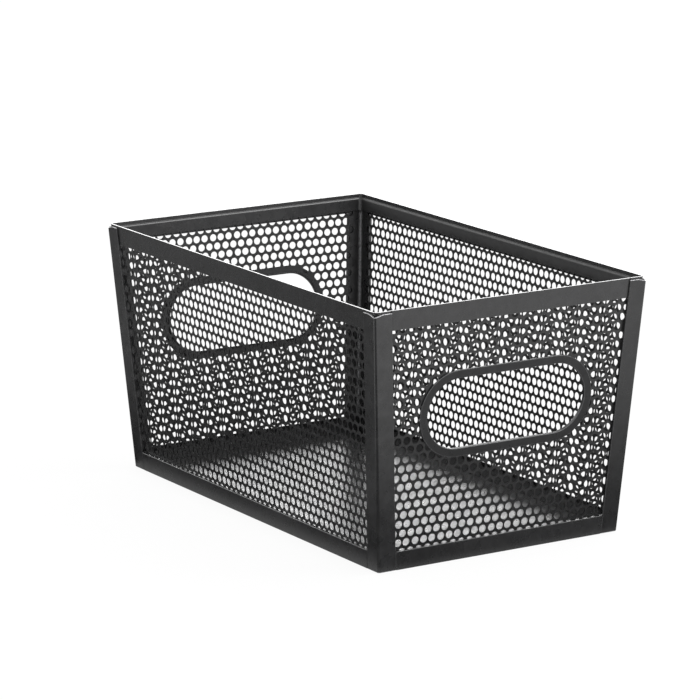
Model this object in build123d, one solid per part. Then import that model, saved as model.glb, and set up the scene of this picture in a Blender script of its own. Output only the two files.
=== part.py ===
from build123d import *
import math
import os

# Open-topped storage basket of coated sheet steel, in millimetres.
# +X runs along the length, +Y across the width and +Z up. The origin is on the floor
# under the middle of the base. All four walls lean outwards towards the rim.

# Overall sizes
LENGTH = 254.0
WIDTH = 154.0
HEIGHT = 127.0
BASE_LENGTH = 234.0
BASE_WIDTH = 137.0

# Sheet, measured level through the wall
POST_SHEET = 0.8
RIM_SHEET = 0.8
PANEL_SHEET = 0.4
PAN_SHEET = 1.0
LAYER_CLEARANCE = 0.05
PANEL_HEADROOM = 0.3

# Top rim
RIM_HEIGHT = 9.7
RIM_LIP_DROP = 1.9
RIM_WEB = 0.8
LIP_RISE = 1.4
RIM_CORNER_RADIUS = 2.6
RIM_INNER_RADIUS = 1.6

# Corner posts
POST_LEG = 9.8
POST_BEND_RADIUS = 1.3
POST_DROP = 1.0
POST_CORNER_DROP = 2.3
POST_DIP = 5.0
CORE_CLEARANCE = 0.2

# Bottom rails
RAIL_HEIGHT = 9.3
RAIL_SEAM = 0.4

# Punched holes: rows half a step apart, punched in groups of three
HOLE_DIAMETER = 3.7
ROW_PITCH = 4.56
LONG_GROUP_PITCH = 13.8
END_GROUP_PITCH = 14.36
POST_TUCK = 1.5
RIM_TUCK = 2.0
HANDLE_MARGIN = 0.2
FULL_ROW_SHARES = (0.0, 0.326, 0.652)
GAP_ROW_SHARES = (0.152, 0.510, 0.838)

# Where one group of holes starts on each wall, from its middle and seen from outside
FRONT_GROUP_START = 2.8
BACK_GROUP_START = -3.6
RIGHT_GROUP_START = 2.5
LEFT_GROUP_START = -0.2

# Distance up the slope to the lowest row of holes on each wall
FRONT_LOWEST_ROW = 8.05
BACK_LOWEST_ROW = 9.2
RIGHT_LOWEST_ROW = 8.25
LEFT_LOWEST_ROW = 8.75

# Handle openings in the two ends
HANDLE_STRAIGHT = 54.8
HANDLE_RADIUS = 17.2
HANDLE_CENTRE_HEIGHT = 72.5
BEZEL_WIDTH = 4.15
BEZEL_SHEET = 0.9
BEZEL_EDGE_FILLET = 0.4
COLLAR_WALL = 0.8
COLLAR_OUTSTAND = 0.3
COLLAR_CLEARANCE = 0.3

# Cuts run past the solid by this much
OVERRUN = 5.0

# Places worked out from the sizes above. Depths run inwards from the outer face of the posts.
POST_TOP = HEIGHT - POST_DROP
LEAN_X = (LENGTH - BASE_LENGTH) / 2 / POST_TOP
LEAN_Y = (WIDTH - BASE_WIDTH) / 2 / POST_TOP
RIM_OUT = POST_SHEET + LAYER_CLEARANCE
RIM_IN = RIM_OUT + RIM_SHEET
PANEL_OUT = RIM_IN + LAYER_CLEARANCE
PANEL_IN = PANEL_OUT + PANEL_SHEET
LIP_OUT = PANEL_IN + LAYER_CLEARANCE
LIP_IN = LIP_OUT + RIM_SHEET
CORE_SIDE = RIM_OUT + RIM_CORNER_RADIUS
CORE_HOLLOW = CORE_SIDE - PANEL_IN
RIM_BOTTOM = HEIGHT - RIM_HEIGHT
LIP_BOTTOM = RIM_BOTTOM + LIP_RISE
LIP_TOP = HEIGHT - RIM_LIP_DROP
SLOT_TOP = LIP_TOP - RIM_WEB
PANEL_TOP = SLOT_TOP - PANEL_HEADROOM
PANEL_BOTTOM = PAN_SHEET + LAYER_CLEARANCE
CORE_BOTTOM = RAIL_HEIGHT + CORE_CLEARANCE
CORE_TOP = RIM_BOTTOM - CORE_CLEARANCE

os.makedirs("parts", exist_ok=True)


def half_sizes(z):
    """Half length and half width over the corner posts at height z."""
    return BASE_LENGTH / 2 + LEAN_X * z, BASE_WIDTH / 2 + LEAN_Y * z


# Each wall: the way it faces, its own lean and the lean of the walls beside it
WALLS = {
    "front": ((0, -1), LEAN_Y, LEAN_X),
    "back": ((0, 1), LEAN_Y, LEAN_X),
    "right": ((1, 0), LEAN_X, LEAN_Y),
    "left": ((-1, 0), LEAN_X, LEAN_Y),
}

# Its holes: the step from group to group, where one group starts, and the lowest row
HOLE_ROWS = {
    "front": (LONG_GROUP_PITCH, FRONT_GROUP_START, FRONT_LOWEST_ROW),
    "back": (LONG_GROUP_PITCH, BACK_GROUP_START, BACK_LOWEST_ROW),
    "right": (END_GROUP_PITCH, RIGHT_GROUP_START, RIGHT_LOWEST_ROW),
    "left": (END_GROUP_PITCH, LEFT_GROUP_START, LEFT_LOWEST_ROW),
}


def wall_cosine(side):
    """Cosine of the wall's lean: rise over distance along the slope."""
    return 1 / math.hypot(1, WALLS[side][1])


def wall_plane(side, depth):
    """Plane on the wall at a level depth, X along the wall and Y up its slope."""
    (face_x, face_y), lean, _ = WALLS[side]
    cosine = wall_cosine(side)
    reach = (BASE_LENGTH if face_x else BASE_WIDTH) / 2 - depth
    return Plane(
        origin=(face_x * reach, face_y * reach, 0),
        x_dir=(-face_y, face_x, 0),
        z_dir=(face_x * cosine, face_y * cosine, -lean * cosine),
    )


def half_span(side, z):
    """Half the wall's run between the outer faces of the walls beside it."""
    half_length, half_width = half_sizes(z)
    return half_width if WALLS[side][0][0] else half_length


def wall_outline(side, z_low, z_high, inset):
    """Corners of a strip of wall between two heights, inset from the walls beside it."""
    cosine = wall_cosine(side)
    low = half_span(side, z_low) - inset
    high = half_span(side, z_high) - inset
    return [
        (-low, z_low / cosine),
        (low, z_low / cosine),
        (high, z_high / cosine),
        (-high, z_high / cosine),
    ]


def polygon_wire(points):
    """Closed wire through flat points."""
    return Wire.make_polygon([(x, y, 0) for x, y in points], close=True)


def wall_strip(side, outline, depth_out, depth_in):
    """Plate on a wall between two depths, with level top and bottom edges."""
    face_x, face_y = WALLS[side][0]
    face = wall_plane(side, depth_out) * Face(polygon_wire(outline))
    return extrude(face, amount=depth_in - depth_out, dir=(-face_x, -face_y, 0))


def stadium_wire(straight, radius, height):
    """Racetrack outline round a centre on the wall's middle line."""
    run = straight / 2
    low, high = height - radius, height + radius
    return Wire([
        Edge.make_line((-run, low, 0), (run, low, 0)),
        Edge.make_three_point_arc((run, low, 0), (run + radius, height, 0), (run, high, 0)),
        Edge.make_line((run, high, 0), (-run, high, 0)),
        Edge.make_three_point_arc((-run, high, 0), (-run - radius, height, 0), (-run, low, 0)),
    ])


def handle_height(side):
    """Distance up the slope to the middle of the handle opening."""
    return HANDLE_CENTRE_HEIGHT / wall_cosine(side)


def stadium_distance(x, y):
    """Distance from a point to the middle line of the handle opening."""
    return math.hypot(max(abs(x) - HANDLE_STRAIGHT / 2, 0), y)


def hole_centres(side):
    """Centres of the punched holes, which run on a little way under the posts and the rim."""
    cosine = wall_cosine(side)
    lean_beside = WALLS[side][2]
    group_pitch, start, lowest = HOLE_ROWS[side]
    rows = math.floor((RIM_BOTTOM / cosine + RIM_TUCK - lowest) / ROW_PITCH)
    centres = []
    for row in range(rows + 1):
        y = lowest + row * ROW_PITCH
        low = y - HOLE_DIAMETER / 2
        limit = half_span(side, 0) + lean_beside * low * cosine - POST_LEG + POST_TUCK
        shares = GAP_ROW_SHARES if row % 2 else FULL_ROW_SHARES
        groups = math.ceil(limit / group_pitch) + 1
        for group in range(-groups, groups + 1):
            for share in shares:
                x = start + (group + share) * group_pitch
                if abs(x) <= limit:
                    centres.append((x, y))
    return centres


def perforated_panel(side, with_handle):
    """Punched wall panel, with the racetrack cut-out on the two ends."""
    outline = wall_outline(side, PANEL_BOTTOM, PANEL_TOP, CORE_SIDE + LAYER_CLEARANCE)
    cut_radius = HANDLE_RADIUS + COLLAR_WALL + COLLAR_CLEARANCE
    clear = cut_radius + HOLE_DIAMETER / 2 + HANDLE_MARGIN
    middle = handle_height(side)
    openings = []
    for x, y in hole_centres(side):
        if with_handle and stadium_distance(x, y - middle) < clear:
            continue
        openings.append(Wire.make_circle(HOLE_DIAMETER / 2, Plane((x, y, 0))))
    if with_handle:
        openings.append(stadium_wire(HANDLE_STRAIGHT, cut_radius, middle))
    thickness = PANEL_SHEET * wall_cosine(side)
    plate = extrude(Face(polygon_wire(outline), openings), amount=-thickness)
    return wall_plane(side, PANEL_OUT) * plate


def handle_bezel(side):
    """Flat ring on the panel's outer face, with a collar through the cut-out."""
    cosine = wall_cosine(side)
    middle = handle_height(side)
    inner = stadium_wire(HANDLE_STRAIGHT, HANDLE_RADIUS, middle)
    outer = stadium_wire(HANDLE_STRAIGHT, HANDLE_RADIUS + BEZEL_WIDTH, middle)
    collar = stadium_wire(HANDLE_STRAIGHT, HANDLE_RADIUS + COLLAR_WALL, middle)
    seat = PANEL_OUT - LAYER_CLEARANCE
    flange_depth = seat - BEZEL_SHEET
    flange = extrude(Face(outer), amount=-BEZEL_SHEET * cosine)
    crown = flange.faces().sort_by(Axis.Z)[-1].edges()
    flange = fillet(crown, BEZEL_EDGE_FILLET)
    reach = (PANEL_IN + COLLAR_OUTSTAND - flange_depth) * cosine
    body = flange + extrude(Face(collar), amount=-reach)
    bezel = body - Pos(0, 0, OVERRUN) * extrude(Face(inner), amount=-reach - 2 * OVERRUN)
    return wall_plane(side, flange_depth) * bezel


def bottom_rail(side):
    """Band along the foot of a wall, thinned where the post legs lie over it."""
    leg_end = POST_LEG + RAIL_SEAM
    band = wall_strip(side, wall_outline(side, 0, RAIL_HEIGHT, leg_end), 0, RIM_IN)
    tucked = wall_outline(side, 0, RAIL_HEIGHT, PANEL_OUT)
    return band + wall_strip(side, tucked, RIM_OUT, RIM_IN)


def rounded_face(z, depth, radius):
    """Level face at height z, as large as the basket at that depth."""
    half_length, half_width = half_sizes(z)
    sketch = RectangleRounded(2 * (half_length - depth), 2 * (half_width - depth), radius)
    return Pos(0, 0, z) * sketch.face()


def frustum(z_low, z_high, depth, radius):
    """Leaning block with rounded corners between two heights."""
    return loft([rounded_face(z_low, depth, radius), rounded_face(z_high, depth, radius)], ruled=True)


def top_rim():
    """Outer band and shorter inner lip round the top edge, joined over the panels."""
    below, above = RIM_BOTTOM - OVERRUN, HEIGHT + OVERRUN
    band_inside = RIM_CORNER_RADIUS - RIM_SHEET
    rim = frustum(RIM_BOTTOM, HEIGHT, RIM_OUT, RIM_CORNER_RADIUS)
    rim -= frustum(LIP_TOP, above, RIM_IN, band_inside)
    slot = frustum(below, SLOT_TOP, RIM_IN, band_inside)
    slot -= frustum(below - OVERRUN, above, LIP_OUT, RIM_INNER_RADIUS + RIM_SHEET)
    rim -= slot
    rim -= frustum(below, above, LIP_IN, RIM_INNER_RADIUS)
    rim -= frustum(below, LIP_BOTTOM, RIM_IN, band_inside)
    return rim


def leaning_prism(face, sign_x, sign_y, z_low, z_high):
    """Corner section carried up along the corner's lean."""
    run = Vector(sign_x * LEAN_X, sign_y * LEAN_Y, 1)
    half_length, half_width = half_sizes(z_low)
    start = Pos(sign_x * half_length, sign_y * half_width, z_low)
    return start * extrude(face, amount=(z_high - z_low) * run.length, dir=run)


def corner_section(points_in, sign_x, sign_y):
    """Places given as depths from the two outer faces, turned to this corner."""
    return [(-sign_x * u, -sign_y * v, 0) for u, v in points_in]


def arc_middle(centre, radius):
    """Point of a corner arc nearest to the corner itself."""
    return centre - radius / math.sqrt(2)


def post_leg_face(sign_x, sign_y):
    """Bent strip: two legs and a rounded corner."""
    outer, sheet, leg = POST_BEND_RADIUS, POST_SHEET, POST_LEG
    outer_middle = arc_middle(outer, outer)
    inner_middle = arc_middle(outer, outer - sheet)
    points = corner_section([
        (0, leg), (0, outer), (outer_middle, outer_middle), (outer, 0), (leg, 0),
        (leg, sheet), (outer, sheet), (inner_middle, inner_middle), (sheet, outer), (sheet, leg),
    ], sign_x, sign_y)
    return Face(Wire([
        Edge.make_line(points[0], points[1]),
        Edge.make_three_point_arc(*points[1:4]),
        Edge.make_line(points[3], points[4]),
        Edge.make_line(points[4], points[5]),
        Edge.make_line(points[5], points[6]),
        Edge.make_three_point_arc(*points[6:9]),
        Edge.make_line(points[8], points[9]),
        Edge.make_line(points[9], points[0]),
    ]))


def post_core_face(sign_x, sign_y):
    """Core behind the legs and between the ends of two panels, with a hollow inner corner."""
    start = arc_middle(POST_BEND_RADIUS, POST_BEND_RADIUS - POST_SHEET / 2)
    bend, leg, side, inside, sheet = POST_BEND_RADIUS, POST_LEG, CORE_SIDE, PANEL_IN, POST_SHEET / 2
    hollow = arc_middle(side, CORE_HOLLOW)
    points = corner_section([
        (sheet, bend), (start, start), (bend, sheet), (leg, sheet), (leg, RIM_IN), (side, RIM_IN),
        (side, inside), (hollow, hollow), (inside, side), (RIM_IN, side), (RIM_IN, leg), (sheet, leg),
    ], sign_x, sign_y)
    hollow_start = 6
    edges = [Edge.make_line(points[k], points[k + 1]) for k in range(hollow_start)]
    edges.append(Edge.make_three_point_arc(*points[hollow_start:hollow_start + 3]))
    edges += [Edge.make_line(points[k - 1], points[k]) for k in range(hollow_start + 3, len(points))]
    edges.append(Edge.make_line(points[-1], points[0]))
    return Face(Wire(edges))


def corner_post(sign_x, sign_y):
    """Bent strip over a corner, its top cut down towards the corner."""
    legs = leaning_prism(post_leg_face(sign_x, sign_y), sign_x, sign_y, 0, POST_TOP)
    core = leaning_prism(post_core_face(sign_x, sign_y), sign_x, sign_y, CORE_BOTTOM, CORE_TOP)
    half_length, half_width = half_sizes(POST_TOP)
    fall = (POST_CORNER_DROP - POST_DROP) / POST_DIP
    corner = (sign_x * half_length, sign_y * half_width, HEIGHT - POST_CORNER_DROP)
    cut = Plane(origin=corner, z_dir=(sign_x * fall, sign_y * fall, 1))
    return split(legs + core, bisect_by=cut, keep=Keep.BOTTOM)


def base_pan():
    """Plain sheet that closes the bottom inside the rails."""
    half_length, half_width = half_sizes(0)
    inset = RIM_IN + LAYER_CLEARANCE
    pan = Box(2 * (half_length - inset), 2 * (half_width - inset), PAN_SHEET)
    return Pos(0, 0, PAN_SHEET / 2) * pan


def write(node, shape):
    """Write one node as a STEP file and print its size."""
    solids = shape.solids()
    solid = solids[0]
    if len(solids) > 1:
        print("more than one solid in", node, len(solids))
        solid = Compound(children=solids)
    solid.label = node
    export_step(solid, f"parts/{node}.step")
    size = solid.bounding_box().size
    print(f"{node}: volume {solid.volume:.0f}, size {size.X:.1f} x {size.Y:.1f} x {size.Z:.1f}")


write("base_pan", base_pan())
write("front_panel", perforated_panel("front", False))
write("back_panel", perforated_panel("back", False))
write("right_end_panel", perforated_panel("right", True))
write("left_end_panel", perforated_panel("left", True))
write("top_rim", top_rim())
for wall in WALLS:
    write(f"{wall}_bottom_rail", bottom_rail(wall))
for end, sign_x in (("left", -1), ("right", 1)):
    for depth, sign_y in (("front", -1), ("back", 1)):
        write(f"{depth}_{end}_post", corner_post(sign_x, sign_y))
    write(f"{end}_handle_bezel", handle_bezel(end))
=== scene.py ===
import math

import bpy
from mathutils import Matrix, Vector
from mathutils.geometry import delaunay_2d_cdt


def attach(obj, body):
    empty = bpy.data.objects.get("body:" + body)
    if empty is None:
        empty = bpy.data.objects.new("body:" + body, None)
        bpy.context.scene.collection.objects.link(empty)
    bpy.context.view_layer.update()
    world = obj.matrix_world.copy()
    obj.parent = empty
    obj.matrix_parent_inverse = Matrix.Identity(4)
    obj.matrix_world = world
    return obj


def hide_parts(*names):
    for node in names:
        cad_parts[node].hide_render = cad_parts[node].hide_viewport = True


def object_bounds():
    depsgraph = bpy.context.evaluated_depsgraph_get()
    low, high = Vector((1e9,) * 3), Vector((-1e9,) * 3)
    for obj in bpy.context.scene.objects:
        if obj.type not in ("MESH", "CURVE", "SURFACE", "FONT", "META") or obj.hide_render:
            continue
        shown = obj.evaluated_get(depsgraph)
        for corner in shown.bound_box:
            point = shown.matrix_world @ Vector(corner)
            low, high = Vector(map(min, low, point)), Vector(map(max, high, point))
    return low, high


# Open-topped basket of black coated sheet steel, in metres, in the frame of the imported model.
# +X runs along the length, +Y across the width and +Z up, with the underside at zero height.
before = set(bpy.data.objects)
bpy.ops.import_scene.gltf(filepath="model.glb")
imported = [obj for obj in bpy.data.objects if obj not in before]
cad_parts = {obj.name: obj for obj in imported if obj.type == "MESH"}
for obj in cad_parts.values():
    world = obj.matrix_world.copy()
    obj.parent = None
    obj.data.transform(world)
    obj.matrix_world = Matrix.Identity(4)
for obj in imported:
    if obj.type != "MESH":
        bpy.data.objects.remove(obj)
cad_low, cad_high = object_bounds()

MM = 0.001

# Overall sizes
LENGTH = cad_high.x - cad_low.x
WIDTH = cad_high.y - cad_low.y
HEIGHT = cad_high.z - cad_low.z
BASE_LENGTH = 234.0 * MM
BASE_WIDTH = 137.0 * MM

# Sheet, measured level through the wall
POST_SHEET = 0.8 * MM
RIM_SHEET = 0.8 * MM
PANEL_SHEET = 0.4 * MM
PAN_SHEET = 1.0 * MM
LAYER_CLEARANCE = 0.05 * MM

# Top rim
RIM_HEIGHT = 9.7 * MM
RIM_LIP_DROP = 1.9 * MM
RIM_WEB = 0.8 * MM
LIP_RISE = 1.4 * MM
RIM_CORNER_RADIUS = 2.6 * MM
RIM_INNER_RADIUS = 1.6 * MM

# Corner posts
POST_LEG = 9.8 * MM
POST_BEND_RADIUS = 1.3 * MM
POST_DROP = 1.0 * MM
POST_CORNER_DROP = 2.3 * MM
POST_DIP = 5.0 * MM
CORE_CLEARANCE = 0.2 * MM

# Bottom rails
RAIL_HEIGHT = 9.3 * MM
RAIL_SEAM = 0.15 * MM

# Punched holes: rows half a step apart, punched in groups of three
HOLE_DIAMETER = 3.7 * MM
ROW_PITCH = 4.56 * MM
LONG_GROUP_PITCH = 13.8 * MM
END_GROUP_PITCH = 14.36 * MM
POST_TUCK = 1.5 * MM
RIM_TUCK = 2.0 * MM
HANDLE_MARGIN = 0.2 * MM
FULL_ROW_SHARES = (0.0, 0.326, 0.652)
GAP_ROW_SHARES = (0.152, 0.510, 0.838)

# Where one group of holes starts on each wall, from its middle and seen from outside
FRONT_GROUP_START = 2.8 * MM
BACK_GROUP_START = -3.6 * MM
RIGHT_GROUP_START = 2.5 * MM
LEFT_GROUP_START = -0.2 * MM

# Distance up the slope to the lowest row of holes on each wall
FRONT_LOWEST_ROW = 8.05 * MM
BACK_LOWEST_ROW = 9.2 * MM
RIGHT_LOWEST_ROW = 8.25 * MM
LEFT_LOWEST_ROW = 8.75 * MM

# Handle openings in the two ends
HANDLE_STRAIGHT = 54.8 * MM
HANDLE_RADIUS = 17.2 * MM
HANDLE_CENTRE_HEIGHT = 72.5 * MM
BEZEL_WIDTH = 4.15 * MM
BEZEL_SHEET = 0.9 * MM
COLLAR_WALL = 0.8 * MM
COLLAR_OUTSTAND = 0.3 * MM
COLLAR_CLEARANCE = 0.3 * MM

# How far the coating rounds the edges of each kind of piece, and widens the mouths of the holes
HOLE_EDGE = 0.18 * MM
HOLE_ROLL = 0.12 * MM
RIM_EDGE = 0.10 * MM
LONG_SHOULDER = 1.15 * MM
END_SHOULDER = 0.8 * MM
SHEET_EDGE = 0.12 * MM
POST_EDGE = 0.38 * MM
RAIL_EDGE = 0.25 * MM
BEZEL_EDGE = 0.4 * MM
SMALL_EDGE = 0.12 * MM

# A larger radius than this is a bend of the sheet, not a rounded edge
LARGEST_EDGE = 1.2 * MM

# Corners of an outline are a little rounder than its ends, so that the ends' rounding fits in
CORNER_SHARE = 1.1
POST_CORNER_SHARE = 1.02

# Two runs whose directions multiply to less than this are one straight run
STRAIGHT = -0.999

# Points of a panel's outline nearer than this are one point
SAME_POINT = 1e-9

# Painted highlight, with some wear, on the posts' long edges, and painted highlight in the bent inner
# corners, as shares of the full wear and highlight
POST_SIDE_WEAR_AND_HIGHLIGHT = 0.1
HOLLOW_HIGHLIGHT = 0.4

# Painted shade, kept as wear below zero: in the seams beside the posts and on the back's inner ledge
SEAM_PAINTED_SHADE = 1.0
SEAM_SHADE_WIDTH = 0.9 * MM
LEDGE_PAINTED_SHADE = 0.62

# Steps of the round stretches
HOLE_STEPS = 18
EDGE_STEPS = 3
CORNER_STEPS = 10
HANDLE_STEPS = 32

# Places worked out from the sizes above. Depths run inwards from the outer face of the posts.
POST_TOP = HEIGHT - POST_DROP
LEAN_X = (LENGTH - BASE_LENGTH) / 2 / POST_TOP
LEAN_Y = (WIDTH - BASE_WIDTH) / 2 / POST_TOP
RIM_OUT = POST_SHEET + LAYER_CLEARANCE
RIM_IN = RIM_OUT + RIM_SHEET
PANEL_OUT = RIM_IN + LAYER_CLEARANCE
PANEL_IN = PANEL_OUT + PANEL_SHEET
LIP_OUT = PANEL_IN + LAYER_CLEARANCE
LIP_IN = LIP_OUT + RIM_SHEET
RIM_BOTTOM = HEIGHT - RIM_HEIGHT
LIP_BOTTOM = RIM_BOTTOM + LIP_RISE
LIP_TOP = HEIGHT - RIM_LIP_DROP
SLOT_TOP = LIP_TOP - RIM_WEB
PANEL_TOP = SLOT_TOP - LAYER_CLEARANCE
PANEL_BOTTOM = PAN_SHEET + LAYER_CLEARANCE
RIM_CENTRE = RIM_OUT + RIM_CORNER_RADIUS
LIP_CENTRE = LIP_IN + RIM_INNER_RADIUS
CORE_SIDE = RIM_CENTRE
CORE_HOLLOW = CORE_SIDE - PANEL_IN

# Each wall: the way it faces, its own lean and the lean of the walls beside it
WALLS = {
    "front": ((0, -1), LEAN_Y, LEAN_X),
    "back": ((0, 1), LEAN_Y, LEAN_X),
    "right": ((1, 0), LEAN_X, LEAN_Y),
    "left": ((-1, 0), LEAN_X, LEAN_Y),
}

# Its holes: the step from group to group, where one group starts, and the lowest row
HOLE_ROWS = {
    "front": (LONG_GROUP_PITCH, FRONT_GROUP_START, FRONT_LOWEST_ROW),
    "back": (LONG_GROUP_PITCH, BACK_GROUP_START, BACK_LOWEST_ROW),
    "right": (END_GROUP_PITCH, RIGHT_GROUP_START, RIGHT_LOWEST_ROW),
    "left": (END_GROUP_PITCH, LEFT_GROUP_START, LEFT_LOWEST_ROW),
}

# Attribute that holds each point's paler edge and painted shade: one is fully pale, partly wear and
# partly a painted highlight; below zero is painted shade
WEAR_HIGHLIGHT_SHADE = "wear_highlight_and_shade"


def half_sizes(z):
    """Half length and half width over the corner posts at height z."""
    return BASE_LENGTH / 2 + LEAN_X * z, BASE_WIDTH / 2 + LEAN_Y * z


def half_span(side, z):
    """Half the wall's run between the outer faces of the walls beside it."""
    half_length, half_width = half_sizes(z)
    return half_width if WALLS[side][0][0] else half_length


def wall_cosine(side):
    """Cosine of the wall's lean: rise over distance along the slope."""
    return 1 / math.hypot(1, WALLS[side][1])


def wall_matrix(side, depth):
    """Turns wall places (along, up the slope, outwards) at a level depth into object places."""
    (face_x, face_y), lean, _ = WALLS[side]
    cosine = wall_cosine(side)
    reach = (BASE_LENGTH if face_x else BASE_WIDTH) / 2 - depth
    along = Vector((-face_y, face_x, 0))
    out = Vector((face_x * cosine, face_y * cosine, -lean * cosine))
    matrix = Matrix((along, out.cross(along), out)).transposed().to_4x4()
    matrix.translation = (face_x * reach, face_y * reach, 0)
    return matrix


# Mesh building. A shell holds places, normals and edge wear with painted light, one each to a point,
# and faces.


def new_shell():
    """Empty shell, to be filled with points and faces."""
    return {"places": [], "normals": [], "wear_and_painted_light": [], "faces": []}


def add_point(shell, place, normal, wear_and_painted_light):
    """Adds one point and returns its number."""
    shell["places"].append(Vector(place))
    shell["normals"].append(Vector(normal).normalized())
    shell["wear_and_painted_light"].append(wear_and_painted_light)
    return len(shell["places"]) - 1


def add_face(shell, points):
    """Adds a face, wound so that it faces the way its points' normals do."""
    places = [shell["places"][k] for k in points]
    across = Vector((0, 0, 0))
    for k, place in enumerate(places):
        across += (places[k - 1] - places[0]).cross(place - places[0])
    facing = sum((shell["normals"][k] for k in points), Vector((0, 0, 0)))
    shell["faces"].append(points if across.dot(facing) >= 0 else points[::-1])


def join_rings(shell, rings, closed):
    """Skins the space between rings of point numbers, and caps the two ends unless closed."""
    pairs = list(zip(rings, rings[1:] + rings[:1])) if closed else list(zip(rings, rings[1:]))
    for ring, following in pairs:
        for k in range(len(ring)):
            add_face(shell, [ring[k - 1], ring[k], following[k], following[k - 1]])
    if not closed:
        add_face(shell, list(rings[0]))
        add_face(shell, list(rings[-1]))


def finish_piece(shell, name, material, nodes):
    """Makes the shell an object that stands for its CAD nodes."""
    mesh = bpy.data.meshes.new(name)
    mesh.from_pydata(shell["places"], [], shell["faces"])
    mesh.polygons.foreach_set("use_smooth", [True] * len(mesh.polygons))
    wear_and_painted_light = mesh.attributes.new(WEAR_HIGHLIGHT_SHADE, "FLOAT", "POINT")
    wear_and_painted_light.data.foreach_set("value", shell["wear_and_painted_light"])
    mesh.normals_split_custom_set_from_vertices(shell["normals"])
    mesh.materials.append(material)
    piece = bpy.data.objects.new(name, mesh)
    bpy.context.scene.collection.objects.link(piece)
    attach(piece, "root")
    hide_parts(*nodes)


def rounded_outline(corners, radii, highlit_corners=()):
    """Closed outline with rounded corners, as rows of place, outward normal and paleness, which is
    partly wear and partly a painted highlight.

    Tight outward corners are paler, partly wear and partly a painted highlight, and so are those
    whose numbers are in highlit_corners.
    A corner in a straight run gives one row."""
    count = len(corners)
    area = sum(
        corners[k - 1][0] * corners[k][1] - corners[k][0] * corners[k - 1][1] for k in range(count)
    )
    turning = 1 if area > 0 else -1
    rows = []
    for k, radius in enumerate(radii):
        corner = Vector(corners[k])
        before = (Vector(corners[k - 1]) - corner).normalized()
        after = (Vector(corners[(k + 1) % count]) - corner).normalized()
        if before.dot(after) < STRAIGHT:
            rows.append((corner, Vector((after.y, -after.x)) * turning, 0))
            continue
        half = before.angle(after) / 2
        centre = corner + (before + after).normalized() * radius / math.sin(half)
        start = corner + before * radius / math.tan(half) - centre
        end = corner + after * radius / math.tan(half) - centre
        first = math.atan2(start.y, start.x)
        turn = math.remainder(math.atan2(end.y, end.x) - first, math.tau)
        outward = 1 if turn * turning > 0 else -1
        wide = radius > LARGEST_EDGE
        steps = max(EDGE_STEPS, round(CORNER_STEPS * abs(turn) / math.pi)) if wide else EDGE_STEPS
        for step in range(steps + 1):
            angle = first + turn * step / steps
            away = Vector((math.cos(angle), math.sin(angle)))
            plain = k not in highlit_corners and (wide or outward < 0)
            worn_and_highlit = 0 if plain else math.sin(math.pi * step / steps)
            rows.append((centre + away * radius, away * outward, worn_and_highlit))
    return rows


def add_bar(shell, rows, matrix, low, high, edge, side_wear_and_highlight=1):
    """Straight bar of an outline in the matrix's first two axes, its ends rounded by edge.

    low and high give the two ends along the third axis for a place in the outline.
    The long edges are paler by a share, side_wear_and_highlight, of the ends' paleness, which is
    partly wear and partly a painted highlight."""
    turn_normal = matrix.to_3x3().inverted().transposed()
    rings = []
    for sign, end in ((-1, low), (1, high)):
        for step in range(EDGE_STEPS + 1):
            angle = math.pi / 2 * (step if sign > 0 else EDGE_STEPS - step) / EDGE_STEPS
            inset, rise = edge * (1 - math.cos(angle)), edge * (1 - math.sin(angle))
            ring = []
            for place, normal, worn_and_highlit in rows:
                spot = place - normal * inset
                level = end(place) - sign * rise
                facing = turn_normal @ Vector((*(normal * math.cos(angle)), sign * math.sin(angle)))
                wear_and_painted_light = max(worn_and_highlit * side_wear_and_highlight * math.cos(angle), math.sin(2 * angle))
                ring.append(add_point(shell, matrix @ Vector((*spot, level)), facing, wear_and_painted_light))
            rings.append(ring)
    join_rings(shell, rings, closed=False)


# Punched panels


def stadium_loop(straight, radius, height):
    """Racetrack round a centre on the wall's middle line, as rows of place and outward normal."""
    rows = []
    for sign in (1, -1):
        for step in range(HANDLE_STEPS + 1):
            angle = math.pi * (step / HANDLE_STEPS - 0.5) + (0 if sign > 0 else math.pi)
            away = Vector((math.cos(angle), math.sin(angle)))
            rows.append((Vector((sign * straight / 2, height)) + away * radius, away))
    return rows


def stadium_distance(x, y):
    """Distance from a point to the middle line of the handle opening."""
    return math.hypot(max(abs(x) - HANDLE_STRAIGHT / 2, 0), y)


def hole_centres(side):
    """Centres of the punched holes, which run on a little way under the posts and the rim."""
    cosine = wall_cosine(side)
    lean_beside = WALLS[side][2]
    group_pitch, start, lowest = HOLE_ROWS[side]
    rows = math.floor((RIM_BOTTOM / cosine + RIM_TUCK - lowest) / ROW_PITCH)
    centres = []
    for row in range(rows + 1):
        y = lowest + row * ROW_PITCH
        low = y - HOLE_DIAMETER / 2
        limit = half_span(side, 0) + lean_beside * low * cosine - POST_LEG + POST_TUCK
        shares = GAP_ROW_SHARES if row % 2 else FULL_ROW_SHARES
        groups = math.ceil(limit / group_pitch) + 1
        for group in range(-groups, groups + 1):
            for share in shares:
                x = start + (group + share) * group_pitch
                if abs(x) <= limit:
                    centres.append(Vector((x, y)))
    return centres


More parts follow.
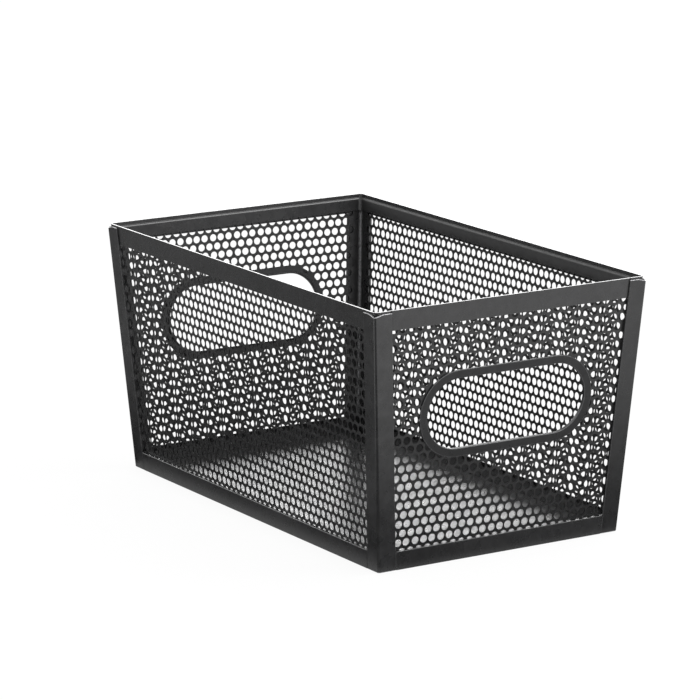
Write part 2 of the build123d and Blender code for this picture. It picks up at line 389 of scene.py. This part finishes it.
def punched_sheet(side, with_handle):
    """Shell of a wall panel: two flat faces, the border and the rounded holes between them."""
    cosine = wall_cosine(side)
    thickness = PANEL_SHEET * cosine
    inset = CORE_SIDE + LAYER_CLEARANCE
    low, high = PANEL_BOTTOM / cosine, PANEL_TOP / cosine
    low_run, high_run = half_span(side, PANEL_BOTTOM) - inset, half_span(side, PANEL_TOP) - inset
    border = [(-low_run, low), (low_run, low), (high_run, high), (-high_run, high)]
    borders = [[Vector(place) for place in border]]
    centres = hole_centres(side)
    if with_handle:
        middle = HANDLE_CENTRE_HEIGHT / cosine
        cut_radius = HANDLE_RADIUS + COLLAR_WALL + COLLAR_CLEARANCE
        clear = cut_radius + HOLE_DIAMETER / 2 + HANDLE_MARGIN
        centres = [c for c in centres if stadium_distance(c.x, c.y - middle) >= clear]
        borders.append([place for place, _ in stadium_loop(HANDLE_STRAIGHT, cut_radius, middle)])
    round_steps = [k * math.tau / HOLE_STEPS for k in range(HOLE_STEPS)]
    aways = [Vector((math.cos(angle), math.sin(angle))) for angle in round_steps]
    mouth = HOLE_DIAMETER / 2 + HOLE_ROLL
    loops = borders + [[centre + away * mouth for away in aways] for centre in centres]

    flat, edges, owner = [], [], []
    for number, loop in enumerate(loops):
        start = len(flat)
        flat += loop
        owner += [number] * len(loop)
        edges += [(start + k, start + (k + 1) % len(loop)) for k in range(len(loop))]
    _, _, triangles, sources, _, _ = delaunay_2d_cdt(flat, edges, [], 1, SAME_POINT)
    source = [group[0] for group in sources]

    matrix = wall_matrix(side, PANEL_OUT)
    out = matrix.to_3x3() @ Vector((0, 0, 1))
    shell = new_shell()
    outer = [add_point(shell, matrix @ Vector((*p, 0)), out, 0) for p in flat]
    inner = [add_point(shell, matrix @ Vector((*p, -thickness)), -out, 0) for p in flat]
    for triangle in triangles:
        # A triangle between points of one loop fills a hole and is left out
        corners = [source[k] for k in triangle]
        owners = {owner[k] for k in corners}
        if len(owners) > 1:
            shell["faces"].append([outer[k] for k in corners])
            shell["faces"].append([inner[k] for k in reversed(corners)])
    first = 0
    for number, loop in enumerate(loops):
        ring = list(range(first, first + len(loop)))
        first += len(loop)
        rings = [[outer[k] for k in ring], [inner[k] for k in ring]]
        if number >= len(borders):
            centre = centres[number - len(borders)]
            for depth in (-HOLE_EDGE, HOLE_EDGE - thickness):
                wall = []
                for away in aways:
                    spot = centre + away * HOLE_DIAMETER / 2
                    inward = matrix.to_3x3() @ Vector((*-away, 0))
                    # The lower half of each hole's wall is paler: a painted highlight where light
                    # from above would catch the rim
                    worn_and_highlit = max(-away.y, 0)
                    wall.append(add_point(shell, matrix @ Vector((*spot, depth)), inward, worn_and_highlit))
                rings.insert(-1, wall)
        for ring_out, ring_in in zip(rings, rings[1:]):
            for k in range(len(loop)):
                shell["faces"].append([ring_out[k - 1], ring_in[k - 1], ring_in[k], ring_out[k]])
    return shell


# Folded strips


def rim_section(shoulder):
    """Outline of the rim in depth and height: outer band, web and lip with a round shoulder."""
    corners = [
        (RIM_OUT, RIM_BOTTOM), (RIM_IN, RIM_BOTTOM), (RIM_IN, SLOT_TOP), (LIP_OUT, SLOT_TOP),
        (LIP_OUT, LIP_BOTTOM), (LIP_IN, LIP_BOTTOM), (LIP_IN, LIP_TOP), (RIM_IN, LIP_TOP),
        (RIM_IN, HEIGHT), (RIM_OUT, HEIGHT),
    ]
    small, edge = SMALL_EDGE, RIM_EDGE
    radii = [edge, small, small, small, small, edge, shoulder, small, edge, edge]
    return rounded_outline(corners, radii)


def top_rim():
    """Rim section carried round the four walls and corners.

    The inner lip gets a painted highlight where it bends. The seams beside the posts and the back's
    ledge get painted shade."""
    shell = new_shell()
    rings = []
    beside = POST_LEG - RIM_CENTRE
    runs = [
        (beside + SEAM_SHADE_WIDTH, 0), (beside, 1), (beside - SEAM_SHADE_WIDTH / 2, 1), (beside - SEAM_SHADE_WIDTH, 0),
    ]
    places = [(0, run, painted_shade) for run, painted_shade in runs]
    places += [(step, 0, 0) for step in range(CORNER_STEPS + 1)]
    places += [(CORNER_STEPS, -run, painted_shade) for run, painted_shade in reversed(runs)]
    for quarter, (sign_x, sign_y) in enumerate(((1, 1), (-1, 1), (-1, -1), (1, -1))):
        for step, run, painted_shade in places:
            angle = math.pi / 2 * (quarter + step / CORNER_STEPS)
            away = Vector((math.cos(angle), math.sin(angle), 0))
            back_along = Vector((away.y, -away.x, 0)) * run
            lean = abs(LEAN_X * away.x) + abs(LEAN_Y * away.y)
            # Painted highlight in the bent corners of the inner lip
            bend_highlight = HOLLOW_HIGHLIGHT * math.sin(math.pi * step / CORNER_STEPS)
            shoulder = END_SHOULDER + (LONG_SHOULDER - END_SHOULDER) * abs(away.y)
            ring = []
            for (depth, z), normal, worn_and_highlit in rim_section(shoulder):
                half_length, half_width = half_sizes(z)
                middle = RIM_CENTRE if depth < PANEL_OUT else LIP_CENTRE
                centre = Vector((sign_x * (half_length - middle), sign_y * (half_width - middle), z))
                facing = -normal.x * away + Vector((0, 0, normal.y + lean * normal.x))
                wear_and_painted_light = max(worn_and_highlit, bend_highlight) if depth > LIP_OUT + SMALL_EDGE else worn_and_highlit
                # Painted shade in the seams beside the posts
                if depth < RIM_OUT + RIM_EDGE and painted_shade:
                    wear_and_painted_light = -SEAM_PAINTED_SHADE * painted_shade
                # Painted shade on the back's inner ledge
                if depth > RIM_IN and abs(z - LIP_TOP) < shoulder and away.y > 0:
                    wear_and_painted_light = -LEDGE_PAINTED_SHADE * away.y
                spot = centre + away * (middle - depth) + back_along
                ring.append(add_point(shell, spot, facing, wear_and_painted_light))
            rings.append(ring)
    join_rings(shell, rings, closed=True)
    return shell


def corner_matrix(sign_x, sign_y):
    """Turns depths from the two outer faces and height into object places."""
    columns = (-sign_x, 0, 0), (0, -sign_y, 0), (sign_x * LEAN_X, sign_y * LEAN_Y, 1)
    matrix = Matrix(columns).transposed().to_4x4()
    matrix.translation = (sign_x * BASE_LENGTH / 2, sign_y * BASE_WIDTH / 2, 0)
    return matrix


def corner_post(sign_x, sign_y):
    """Bent strip over a corner, with the core between the ends of the panels."""
    fall = (POST_CORNER_DROP - POST_DROP) / POST_DIP

    def top(place):
        return min(HEIGHT - POST_CORNER_DROP + fall * (place.x + place.y), POST_TOP)

    matrix = corner_matrix(sign_x, sign_y)
    shell = new_shell()
    sheet, leg, dip, bend = POST_SHEET, POST_LEG, POST_DIP, POST_BEND_RADIUS
    corners = [
        (0, leg), (0, dip), (0, 0), (dip, 0), (leg, 0),
        (leg, sheet), (dip, sheet), (sheet, sheet), (sheet, dip), (sheet, leg),
    ]
    edge = POST_EDGE * POST_CORNER_SHARE
    radii = [edge, 0, bend, 0, edge, edge, 0, bend - sheet, 0, edge]
    rows = rounded_outline(corners, radii)
    # The post's top edge and, by a share, its long edges are paler: painted highlight with some wear
    add_bar(shell, rows, matrix, lambda place: 0, top, POST_EDGE, POST_SIDE_WEAR_AND_HIGHLIGHT)

    side, inside, back = CORE_SIDE, PANEL_IN, RIM_IN
    start, mid, leg_end = bend / 2, sheet / 2, leg - SMALL_EDGE
    corners = [
        (start, start), (bend, mid), (leg_end, mid), (leg_end, back), (side, back), (side, inside),
        (inside, inside), (inside, side), (back, side), (back, leg_end), (mid, leg_end), (mid, bend),
    ]
    hollow = corners.index((inside, inside))
    radii = [SMALL_EDGE] * len(corners)
    radii[hollow] = CORE_HOLLOW - SMALL_EDGE
    # The hollow between the panel ends gets a painted highlight along its bend
    rows = rounded_outline(corners, radii, [hollow])
    low, high = RAIL_HEIGHT + CORE_CLEARANCE, RIM_BOTTOM - CORE_CLEARANCE
    add_bar(shell, rows, matrix, lambda place: low, lambda place: high, SMALL_EDGE / 2, HOLLOW_HIGHLIGHT)
    return shell


def bottom_rail(side):
    """Band along the foot of a wall, and the thinner ends tucked under the post legs."""
    (face_x, face_y), lean, lean_beside = WALLS[side]

    def run(place):
        return half_span(side, 0) + lean_beside * place.y

    reach = (BASE_LENGTH if face_x else BASE_WIDTH) / 2
    columns = (-face_x, -face_y, 0), (face_x * lean, face_y * lean, 1), (-face_y, face_x, 0)
    matrix = Matrix(columns).transposed().to_4x4()
    matrix.translation = (face_x * reach, face_y * reach, 0)
    shell = new_shell()
    bands = ((0, POST_LEG + RAIL_SEAM, RAIL_EDGE), (RIM_OUT, PANEL_OUT, SMALL_EDGE))
    for depth, inset, edge in bands:
        corners = [(depth, 0), (RIM_IN, 0), (RIM_IN, RAIL_HEIGHT), (depth, RAIL_HEIGHT)]
        rows = rounded_outline(corners, [edge * CORNER_SHARE] * len(corners))
        low, high = (lambda place: inset - run(place)), (lambda place: run(place) - inset)
        add_bar(shell, rows, matrix, low, high, edge)
    return shell


def handle_bezel(side):
    """Flat ring with a short collar, carried round the racetrack."""
    cosine = wall_cosine(side)
    middle = HANDLE_CENTRE_HEIGHT / cosine
    seat = PANEL_OUT - LAYER_CLEARANCE
    front = seat - BEZEL_SHEET
    matrix = wall_matrix(side, front)
    turn = matrix.to_3x3()
    flange = BEZEL_SHEET * cosine
    collar = (PANEL_IN + COLLAR_OUTSTAND - front) * cosine
    corners = [
        (0, 0), (BEZEL_WIDTH, 0), (BEZEL_WIDTH, -flange), (COLLAR_WALL, -flange),
        (COLLAR_WALL, -collar), (0, -collar),
    ]
    radii = [BEZEL_EDGE, BEZEL_EDGE, SMALL_EDGE, SMALL_EDGE, SMALL_EDGE, SHEET_EDGE]
    section = rounded_outline(corners, radii)
    shell = new_shell()
    rings = []
    for place, away in stadium_loop(HANDLE_STRAIGHT, HANDLE_RADIUS, middle):
        ring = []
        for (offset, rise), normal, worn_and_highlit in section:
            spot = place + away * offset
            facing = Vector((*(away * normal.x), normal.y))
            ring.append(add_point(shell, matrix @ Vector((*spot, rise)), turn @ facing, worn_and_highlit))
        rings.append(ring)
    join_rings(shell, rings, closed=True)
    return shell


def base_pan():
    """Plain sheet that closes the bottom inside the rails."""
    inset = RIM_IN + LAYER_CLEARANCE
    half_length, half_width = BASE_LENGTH / 2 - inset, BASE_WIDTH / 2 - inset
    corners = [
        (-half_length, -half_width), (half_length, -half_width),
        (half_length, half_width), (-half_length, half_width),
    ]
    shell = new_shell()
    rows = rounded_outline(corners, [SHEET_EDGE * CORNER_SHARE] * len(corners))
    add_bar(shell, rows, Matrix.Identity(4), lambda place: 0, lambda place: PAN_SHEET, SHEET_EDGE)
    return shell


# Finishes

# Blotches a metre and layers of detail of each noise
CLOUD_SCALE, CLOUD_DETAIL = 28, 4
BLOTCH_SCALE, BLOTCH_DETAIL = 240, 3
SMUDGE_SCALE, SMUDGE_DETAIL = 160, 5
# Noise that breaks up the paler edges, which are partly wear and partly painted highlight
WEAR_SHEEN_SCALE, WEAR_SHEEN_DETAIL = 900, 3
PEEL_SCALE, PEEL_DETAIL = 1400, 2
NOISE_LOW, NOISE_HIGH = 0.3, 0.7

# How far each noise goes, as shares
# Share of the paler edge tone taken up, partly wear and partly painted highlight
WEAR_SHEEN_LEAST, WEAR_SHEEN_MOST = 0.3, 0.9
SMUDGE_LEAST, SMUDGE_MOST = 0.85, 1.2
# Painted shade: how much it darkens the tone and adds roughness
PAINTED_SHADE_DARKENING, PAINTED_SHADE_ROUGHNESS = 0.9, 0.6

PEEL_DEPTH = 0.01 * MM
PAN_PEEL_DEPTH = 0.003 * MM
PEEL_STRENGTH = 0.5
COOLNESS = 1.03
GLOSS = 0.65
PANEL_GLOSS = 0.52
BEZEL_GLOSS = 0.35


def stretched_noise(tree, coordinates, scale, detail, low, high):
    """Noise of so many blotches a metre, its middle spread from low to high."""
    texture = tree.nodes.new("ShaderNodeTexNoise")
    texture.inputs["Scale"].default_value = scale
    texture.inputs["Detail"].default_value = detail
    tree.links.new(coordinates, texture.inputs["Vector"])
    spread = tree.nodes.new("ShaderNodeMapRange")
    spread.inputs["From Min"].default_value = NOISE_LOW
    spread.inputs["From Max"].default_value = NOISE_HIGH
    spread.inputs["To Min"].default_value = low
    spread.inputs["To Max"].default_value = high
    tree.links.new(texture.outputs["Fac"], spread.inputs["Value"])
    return spread.outputs["Result"]


def math_step(tree, operation, first, second=0.0):
    """Arithmetic on two inputs, each a node output or a number."""
    step = tree.nodes.new("ShaderNodeMath")
    step.operation = operation
    for k, value in enumerate((first, second)):
        if isinstance(value, (int, float)):
            step.inputs[k].default_value = value
        else:
            tree.links.new(value, step.inputs[k])
    return step.outputs["Value"]


def coated_steel(name, tone, worn_and_highlight_tone, roughness, mottling, peel=PEEL_DEPTH, gloss=GLOSS):
    """Black stoved coat: cloudy tone, fine orange peel, smudges, paler edges that are partly worn and
    partly a painted highlight, and painted shade.
    """
    material = bpy.data.materials.new(name)
    material.use_nodes = True
    tree = material.node_tree
    nodes, links = tree.nodes, tree.links
    shader = nodes["Principled BSDF"]
    shader.inputs["Specular IOR Level"].default_value = gloss
    spots = nodes.new("ShaderNodeTexCoord").outputs["Object"]

    cloud = stretched_noise(tree, spots, CLOUD_SCALE, CLOUD_DETAIL, 1 - mottling, 1 + mottling)
    blotch = stretched_noise(tree, spots, BLOTCH_SCALE, BLOTCH_DETAIL, 1 - mottling, 1 + mottling)
    tint = nodes.new("ShaderNodeMix")
    tint.data_type = "RGBA"
    tint.blend_type = "MULTIPLY"
    tint.inputs["Factor"].default_value = 1
    tint.inputs["A"].default_value = (tone, tone, tone * COOLNESS, 1)

    wear_and_painted_light = nodes.new("ShaderNodeAttribute")
    wear_and_painted_light.attribute_name = WEAR_HIGHLIGHT_SHADE
    # Below zero the attribute is painted shade, which darkens the tone and roughens the coat
    painted_shade = math_step(tree, "MAXIMUM", math_step(tree, "MULTIPLY", wear_and_painted_light.outputs["Fac"], -1.0), 0.0)
    outside_painted_shade = math_step(tree, "SUBTRACT", 1.0, math_step(tree, "MULTIPLY", painted_shade, PAINTED_SHADE_DARKENING))
    mottled = math_step(tree, "MULTIPLY", cloud, blotch)
    links.new(math_step(tree, "MULTIPLY", mottled, outside_painted_shade), tint.inputs["B"])
    # Above zero it blends in the paler tone, partly wear and partly a painted highlight, broken up by
    # noise
    wear_and_sheen_noise = stretched_noise(tree, spots, WEAR_SHEEN_SCALE, WEAR_SHEEN_DETAIL, WEAR_SHEEN_LEAST, WEAR_SHEEN_MOST)
    paler_worn_and_lit = nodes.new("ShaderNodeMix")
    paler_worn_and_lit.data_type = "RGBA"
    paler_worn_and_lit.inputs["B"].default_value = (worn_and_highlight_tone, worn_and_highlight_tone, worn_and_highlight_tone * COOLNESS, 1)
    links.new(math_step(tree, "MULTIPLY", wear_and_painted_light.outputs["Fac"], wear_and_sheen_noise), paler_worn_and_lit.inputs["Factor"])
    links.new(tint.outputs["Result"], paler_worn_and_lit.inputs["A"])
    links.new(paler_worn_and_lit.outputs["Result"], shader.inputs["Base Color"])

    least, most = roughness * SMUDGE_LEAST, roughness * SMUDGE_MOST
    smudge = stretched_noise(tree, spots, SMUDGE_SCALE, SMUDGE_DETAIL, least, most)
    dulled = math_step(tree, "MULTIPLY", painted_shade, PAINTED_SHADE_ROUGHNESS)
    links.new(math_step(tree, "ADD", smudge, dulled), shader.inputs["Roughness"])

    bump = nodes.new("ShaderNodeBump")
    bump.inputs["Strength"].default_value = PEEL_STRENGTH
    bump.inputs["Distance"].default_value = peel
    links.new(stretched_noise(tree, spots, PEEL_SCALE, PEEL_DETAIL, 0, 1), bump.inputs["Height"])
    links.new(bump.outputs["Normal"], shader.inputs["Normal"])
    return material


# Coats: name, tone, tone of the paler edges (partly wear, partly painted highlight), roughness and
# mottling
panel_coat = coated_steel("panel_coat", 0.022, 0.50, 0.30, 0.15)
# A darker, less glossy copy of the panel coat for the right end: painted shade
shaded_panel_coat = coated_steel("shaded_panel_coat", 0.019, 0.50, 0.31, 0.15, gloss=PANEL_GLOSS)
rim_coat = coated_steel("rim_coat", 0.024, 0.25, 0.26, 0.15)
rail_coat = coated_steel("rail_coat", 0.021, 0.10, 0.28, 0.15)
# The back posts take a darker copy of the post coat: painted shade
post_coats_back_shaded = {
    "front": coated_steel("post_coat", 0.023, 0.80, 0.28, 0.25),
    "back": coated_steel("shaded_back_post_coat", 0.016, 0.80, 0.28, 0.15),
}
bezel_coat = coated_steel("bezel_coat", 0.018, 0.15, 0.30, 0.15, gloss=BEZEL_GLOSS)
pan_coat = coated_steel("pan_coat", 0.012, 0.03, 0.30, 0.10, peel=PAN_PEEL_DEPTH)

# Panels: wall, with a handle or not, coat and solid
PANELS = (
    ("front", False, panel_coat, "front_panel"),
    ("back", False, panel_coat, "back_panel"),
    ("right", True, shaded_panel_coat, "right_end_panel"),
    ("left", True, panel_coat, "left_end_panel"),
)

finish_piece(base_pan(), "base_pan_sheet", pan_coat, ["base_pan"])
for wall, with_handle, coat, node in PANELS:
    finish_piece(punched_sheet(wall, with_handle), f"{wall}_punched_sheet", coat, [node])
finish_piece(top_rim(), "folded_rim", rim_coat, ["top_rim"])
for wall in WALLS:
    finish_piece(bottom_rail(wall), f"{wall}_foot_band", rail_coat, [f"{wall}_bottom_rail"])
for end, sign_x in (("left", -1), ("right", 1)):
    for depth, sign_y in (("front", -1), ("back", 1)):
        name, node = f"{depth}_{end}_corner_strip", f"{depth}_{end}_post"
        finish_piece(corner_post(sign_x, sign_y), name, post_coats_back_shaded[depth], [node])
    node = f"{end}_handle_bezel"
    finish_piece(handle_bezel(end), f"{end}_handle_ring", bezel_coat, [node])


# Floor, light and camera

FLOOR_HALF = 12.0
FLOOR_GAP = 0.1 * MM
FLOOR_WHITE = 0.92
FLOOR_GLOW_SEEN = 0.93
WORLD_LIGHT = 0.5

# Floor as reflections show it: pale right at the foot of the basket, dark beside it and white
# further off, sooner past the ends than past the long sides
FOOT_REFLECTED, FOOT_REACH = 0.55, 0.014
NEAR_REFLECTED, NEAR_END, FAR_START = 0.08, 0.02, 0.38
END_STRETCH = 1.6

# It is dimmer on the basket's shaded side, with the change along a slanting line
SHADE_REFLECTED, SHADE_START, SHADE_END = 0.25, -0.30, 0.10
SHADE_SLANT = 0.6

# The bent front corner mirrors a dark and a light wedge, given by bearing and width in degrees
DARK_BEARING, DARK_CORE, DARK_WIDTH = -33, 14, 34
LIGHT_BEARING, LIGHT_WIDTH, LIGHT_SHARE = -84, 18, 2.5

# Soft boxes: name, place, aim, width, height and brightness, where 1 is white
BASKET_MIDDLE = (0, 0, 0.06)
SOFT_BOXES = (
    ("back_box", (-2.4, 1.5, 0.85), (0, 0, 0.85), 4.0, 1.3, 5.5),
    ("left_box", (-1.3, -0.36, 0.84), BASKET_MIDDLE, 0.8, 0.8, 4.0),
    ("top_box", (0.34, 0.75, 1.2), BASKET_MIDDLE, 1.0, 1.0, 4.5),
    ("side_box", (1.45, 0.6, 1.0), BASKET_MIDDLE, 2.0, 1.4, 1.3),
)

# Camera fitted to the straight edges in the photograph, angles in degrees
CAMERA_AZIMUTH, CAMERA_ELEVATION, CAMERA_ROLL = 57.93, 13.02, -0.13
CAMERA_DISTANCE = 1930.3 * MM
CAMERA_TARGET = (-16.9 * MM, 0, 72.42 * MM)
FOCAL_PIXELS, PICTURE_PIXELS = 3862.7, 700
SENSOR_WIDTH = 36.0
CLIP_START, CLIP_END = 0.05, 60


def smooth_span(tree, value, start, end, low, high):
    """Value carried smoothly from low to high between start and end."""
    spread = tree.nodes.new("ShaderNodeMapRange")
    spread.interpolation_type = "SMOOTHSTEP"
    spread.inputs["From Min"].default_value = start
    spread.inputs["From Max"].default_value = end
    spread.inputs["To Min"].default_value = low
    spread.inputs["To Max"].default_value = high
    tree.links.new(value, spread.inputs["Value"])
    return spread.outputs["Result"]


def mirrored_rays(tree):
    """One for glossy and transmission rays, and beside it one for camera rays, zero for the rest."""
    path = tree.nodes.new("ShaderNodeLightPath")
    glossy, passed = path.outputs["Is Glossy Ray"], path.outputs["Is Transmission Ray"]
    return math_step(tree, "MAXIMUM", glossy, passed), path.outputs["Is Camera Ray"]


def mix_white(tree, share, plain, glow, output):
    """Mixes a plain shader with a glowing one by the share, and returns the mix."""
    mix = tree.nodes.new("ShaderNodeMixShader")
    tree.links.new(share, mix.inputs["Fac"])
    tree.links.new(plain, mix.inputs[1])
    tree.links.new(glow, mix.inputs[2])
    tree.links.new(mix.outputs["Shader"], output.inputs["Surface"])
    return mix.outputs["Shader"]


def reflected_floor(tree):
    """How bright each place of the floor is in a reflection."""
    split = tree.nodes.new("ShaderNodeSeparateXYZ")
    tree.links.new(tree.nodes.new("ShaderNodeTexCoord").outputs["Object"], split.inputs["Vector"])
    x, y = split.outputs["X"], split.outputs["Y"]
    beyond_x = math_step(tree, "SUBTRACT", math_step(tree, "ABSOLUTE", x), BASE_LENGTH / 2)
    beyond_y = math_step(tree, "SUBTRACT", math_step(tree, "ABSOLUTE", y), BASE_WIDTH / 2)
    stretched = math_step(tree, "MULTIPLY", beyond_x, END_STRETCH)
    distance = math_step(tree, "MAXIMUM", stretched, beyond_y)
    foot = smooth_span(tree, distance, 0, FOOT_REACH, FOOT_REFLECTED, 0)
    open_floor = smooth_span(tree, distance, NEAR_END, FAR_START, NEAR_REFLECTED, 1)
    slant = math_step(tree, "ADD", x, math_step(tree, "MULTIPLY", y, SHADE_SLANT))
    shade = smooth_span(tree, slant, SHADE_START, SHADE_END, SHADE_REFLECTED, 1)
    bearing = math_step(tree, "DEGREES", math_step(tree, "ARCTAN2", y, x))
    dark_turn = math_step(tree, "ABSOLUTE", math_step(tree, "SUBTRACT", bearing, DARK_BEARING))
    dark = smooth_span(tree, dark_turn, DARK_CORE, DARK_WIDTH, 0, 1)
    light_turn = math_step(tree, "ABSOLUTE", math_step(tree, "SUBTRACT", bearing, LIGHT_BEARING))
    light = smooth_span(tree, light_turn, 0, LIGHT_WIDTH, LIGHT_SHARE, 0)
    side = math_step(tree, "MULTIPLY", math_step(tree, "MAXIMUM", shade, light), dark)
    return math_step(tree, "MAXIMUM", foot, math_step(tree, "MULTIPLY", open_floor, side))


def make_floor():
    """Wide white floor that keeps a soft shadow, a hair below the pan and clear from underneath."""
    mesh = bpy.data.meshes.new("floor")
    half = FLOOR_HALF
    corners = [(-half, -half, 0), (half, -half, 0), (half, half, 0), (-half, half, 0)]
    mesh.from_pydata(corners, [], [(0, 1, 2, 3)])
    floor = bpy.data.objects.new("floor", mesh)
    floor.location.z = -FLOOR_GAP
    bpy.context.scene.collection.objects.link(floor)
    material = bpy.data.materials.new("floor_white")
    material.use_nodes = True
    tree = material.node_tree
    plain = tree.nodes["Principled BSDF"]
    plain.inputs["Base Color"].default_value = (FLOOR_WHITE, FLOOR_WHITE, FLOOR_WHITE, 1)
    plain.inputs["Roughness"].default_value = 1.0
    plain.inputs["Specular IOR Level"].default_value = 0.0
    glow = tree.nodes.new("ShaderNodeEmission")
    mirrored, seen = mirrored_rays(tree)
    share = math_step(tree, "MAXIMUM", mirrored, math_step(tree, "MULTIPLY", seen, FLOOR_GLOW_SEEN))
    tree.links.new(math_step(tree, "MAXIMUM", seen, reflected_floor(tree)), glow.inputs["Strength"])
    output = tree.nodes["Material Output"]
    white = mix_white(tree, share, plain.outputs["BSDF"], glow.outputs["Emission"], output)
    geometry = tree.nodes.new("ShaderNodeNewGeometry")
    clear = tree.nodes.new("ShaderNodeBsdfTransparent")
    one_sided = tree.nodes.new("ShaderNodeMixShader")
    tree.links.new(geometry.outputs["Backfacing"], one_sided.inputs["Fac"])
    tree.links.new(white, one_sided.inputs[1])
    tree.links.new(clear.outputs["BSDF"], one_sided.inputs[2])
    tree.links.new(one_sided.outputs["Shader"], output.inputs["Surface"])
    mesh.materials.append(material)


def make_world():
    """Even studio light, white where it is seen or reflected."""
    world = bpy.data.worlds.new("studio")
    world.use_nodes = True
    bpy.context.scene.world = world
    tree = world.node_tree
    plain = tree.nodes["Background"]
    plain.inputs["Color"].default_value = (1, 1, 1, 1)
    plain.inputs["Strength"].default_value = WORLD_LIGHT
    glow = tree.nodes.new("ShaderNodeBackground")
    glow.inputs["Color"].default_value = (1, 1, 1, 1)
    share = math_step(tree, "MAXIMUM", *mirrored_rays(tree))
    output = tree.nodes["World Output"]
    mix_white(tree, share, plain.outputs["Background"], glow.outputs["Background"], output)


def soft_lamp(name, place, aim, width, height, radiance):
    """Soft box at a place, turned to face its aim, as bright as radiance where 1 is white."""
    lamp = bpy.data.lights.new(name, "AREA")
    lamp.shape = "RECTANGLE"
    lamp.size, lamp.size_y = width, height
    lamp.energy = radiance * math.pi * width * height
    box = bpy.data.objects.new(name, lamp)
    box.location = place
    box.rotation_euler = (Vector(aim) - Vector(place)).to_track_quat("-Z", "Y").to_euler()
    box.visible_camera = False
    bpy.context.scene.collection.objects.link(box)


def make_camera():
    """Camera at the photograph's angle, aimed at its target and rolled a little."""
    azimuth, elevation = math.radians(CAMERA_AZIMUTH), math.radians(CAMERA_ELEVATION)
    roll, level = math.radians(CAMERA_ROLL), math.cos(elevation)
    back = Vector((math.sin(azimuth) * level, -math.cos(azimuth) * level, math.sin(elevation)))
    right = Vector((math.cos(azimuth), math.sin(azimuth), 0))
    up = back.cross(right)
    turned_right = right * math.cos(roll) + up * math.sin(roll)
    turned_up = up * math.cos(roll) - right * math.sin(roll)
    data = bpy.data.cameras.new("camera")
    data.sensor_width = SENSOR_WIDTH
    data.lens = FOCAL_PIXELS * SENSOR_WIDTH / PICTURE_PIXELS
    data.clip_start, data.clip_end = CLIP_START, CLIP_END
    camera = bpy.data.objects.new("camera", data)
    placed = Matrix((turned_right, turned_up, back)).transposed().to_4x4()
    placed.translation = Vector(CAMERA_TARGET) + back * CAMERA_DISTANCE
    camera.matrix_world = placed
    bpy.context.scene.collection.objects.link(camera)
    bpy.context.scene.camera = camera


make_floor()
make_world()
for soft_box in SOFT_BOXES:
    soft_lamp(*soft_box)
make_camera()

scene = bpy.context.scene
scene.view_settings.view_transform = "Standard"
